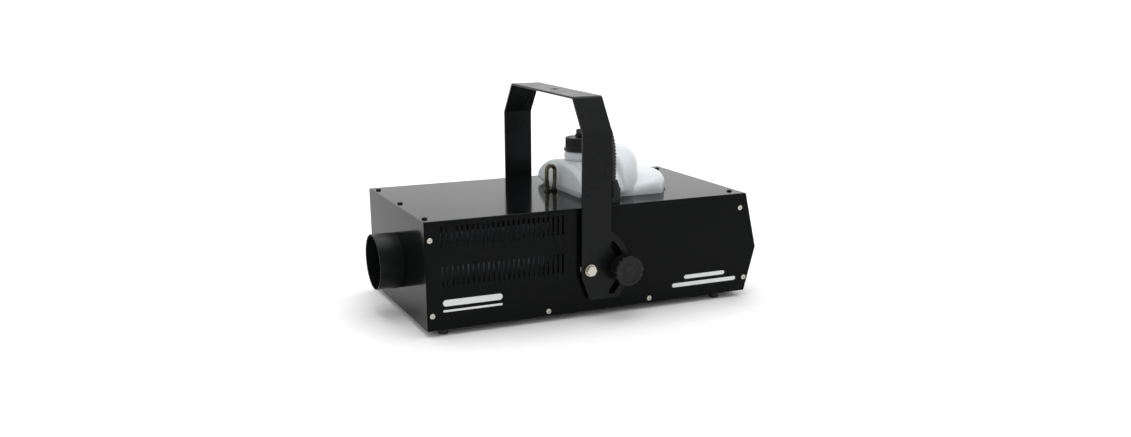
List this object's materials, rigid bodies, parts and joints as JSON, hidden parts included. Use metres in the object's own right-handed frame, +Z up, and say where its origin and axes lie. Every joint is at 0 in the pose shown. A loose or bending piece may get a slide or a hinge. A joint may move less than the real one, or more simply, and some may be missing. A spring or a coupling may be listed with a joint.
{
  "type": "fog machine",
  "caption": "Box-shaped stage fog machine with a round outlet tube, lift-out fluid tank with capped neck and hose, slotted vents, rear control panel and a tilting hanging yoke with clamp knobs.",
  "frame": {"origin": "on the floor under the centre of the machine's overall length and width", "axes": "+X from the outlet tube to the control panel, +Y from the hose side to the far side, +Z up"},
  "size_m": [0.5575, 0.346, 0.309],
  "materials": {
    "black_enamel": "gloss stoved black enamel on folded steel sheet",
    "nickel_steel": "bright nickel plate",
    "blackened_steel": "black oxide",
    "gold_zinc": "dull yellow zinc plate",
    "dark_zinc": "dark zinc plate",
    "bright_aluminium": "mill finish sheet",
    "cast_aluminium": "as cast",
    "brass": "turned",
    "steel": "drawn",
    "wool": "pressed ceramic fibre",
    "copper": "drawn copper pipe",
    "silicone": "clear silicone tube",
    "rubber": "moulded",
    "nylon": "natural nylon",
    "bottle": "translucent blow-moulded polyethylene",
    "black_plastic": "moulded black",
    "nickel_zinc": "satin nickel on die-cast zinc",
    "black_hose": "ribbed polyethylene",
    "board_green": "solder mask",
    "component_grey": "moulded components",
    "window": "smoked acrylic"
  },
  "bodies": {
    "case": {"base_pan": "black_enamel", "board_parts": "component_grey", "board_standoffs": "nylon", "cable_gland": "black_plastic", "case_nuts": "blackened_steel", "control_board": "board_green", "display_board": "board_green", "display_window": "window", "dmx_in_socket": "nickel_zinc", "dmx_out_socket": "black_plastic", "eye_nuts": "dark_zinc", "feed_pipe": "copper", "feet": "rubber", "fitting_screws": "nickel_steel", "foot_screws": "nickel_steel", "friction_washers": "nylon", "front_panel": "black_enamel", "fuse_holder": "black_plastic", "gland_locknut": "black_plastic", "heater_block": "cast_aluminium", "heater_brackets": "bright_aluminium", "heater_insulation": "wool", "heater_shield": "bright_aluminium", "heating_rods": "steel", "hose": "black_hose", "nozzle": "brass", "outlet_tube": "black_enamel", "pivot_bolts": "nickel_steel", "power_inlet": "black_plastic", "pump_body": "black_plastic", "pump_bracket": "steel", "pump_coil": "black_plastic", "pump_mounts": "rubber", "rear_panel": "black_enamel", "remote_socket": "black_plastic", "safety_eye": "gold_zinc", "side_screws": "nickel_steel", "socket_pins": "brass", "suction_tube": "silicone", "switch_frame": "black_plastic", "tank_well": "black_enamel", "thermostats": "steel", "top_cover": "black_enamel", "top_screws": "blackened_steel"},
    "yoke": {"yoke": "black_enamel"},
    "near_knob": {"near_knob": "black_plastic", "near_stud": "blackened_steel"},
    "far_knob": {"far_knob": "black_plastic", "far_stud": "blackened_steel"},
    "tank": {"tank": "bottle", "hose_fitting": "black_plastic", "pickup_tube": "silicone", "pickup_filter": "nylon"},
    "cap": {"tank_cap": "black_plastic"},
    "rocker": {"rocker": "black_plastic"},
    "fuse_cap": {"fuse_cap": "black_plastic"},
    "menu_button": {"menu_button": "black_plastic"},
    "down_button": {"down_button": "black_plastic"},
    "up_button": {"up_button": "black_plastic"},
    "enter_button": {"enter_button": "black_plastic"}
  },
  "joints": [
    {"name": "yoke_tilt", "type": "hinge", "parent": "case", "child": "yoke", "pos_m": [-0.00525, 0, 0.071], "axis": [0, -1, 0], "range_deg": [-44, 44]},
    {"name": "near_knob_turn", "type": "hinge", "parent": "case", "child": "near_knob", "pos_m": [0.04325, -0.135, 0.071], "axis": [0, -1, 0], "range_deg": [0, 360]},
    {"name": "far_knob_turn", "type": "hinge", "parent": "case", "child": "far_knob", "pos_m": [0.04325, 0.135, 0.071], "axis": [0, 1, 0], "range_deg": [0, 360]},
    {"name": "tank_lift", "type": "slide", "parent": "case", "child": "tank", "axis": [0, 0, 1], "range_m": [0, 0.06], "deforming": ["hose"]},
    {"name": "cap_turn", "type": "hinge", "parent": "tank", "child": "cap", "pos_m": [0.04575, 0, 0.2375], "axis": [0, 0, 1], "range_deg": [0, 540]},
    {"name": "rocker_tip", "type": "hinge", "parent": "case", "child": "rocker", "pos_m": [0.26771, 0.012, 0.04463], "axis": [0, 1, 0], "range_deg": [0, 22]},
    {"name": "fuse_cap_turn", "type": "hinge", "parent": "case", "child": "fuse_cap", "pos_m": [0.26868, -0.03, 0.04438], "axis": [0.9689, 0, -0.2473], "range_deg": [0, 90]},
    {"name": "menu_button_press", "type": "slide", "parent": "case", "child": "menu_button", "axis": [-0.9697, 0, -0.2442], "range_m": [0, 0.0012], "stiffness_N_per_m": 900, "springref_m": -0.0006},
    {"name": "down_button_press", "type": "slide", "parent": "case", "child": "down_button", "axis": [-0.9697, 0, -0.2442], "range_m": [0, 0.0012], "stiffness_N_per_m": 900, "springref_m": -0.0006},
    {"name": "up_button_press", "type": "slide", "parent": "case", "child": "up_button", "axis": [-0.9697, 0, -0.2442], "range_m": [0, 0.0012], "stiffness_N_per_m": 900, "springref_m": -0.0006},
    {"name": "enter_button_press", "type": "slide", "parent": "case", "child": "enter_button", "axis": [-0.9697, 0, -0.2442], "range_m": [0, 0.0012], "stiffness_N_per_m": 900, "springref_m": -0.0006}
  ]
}
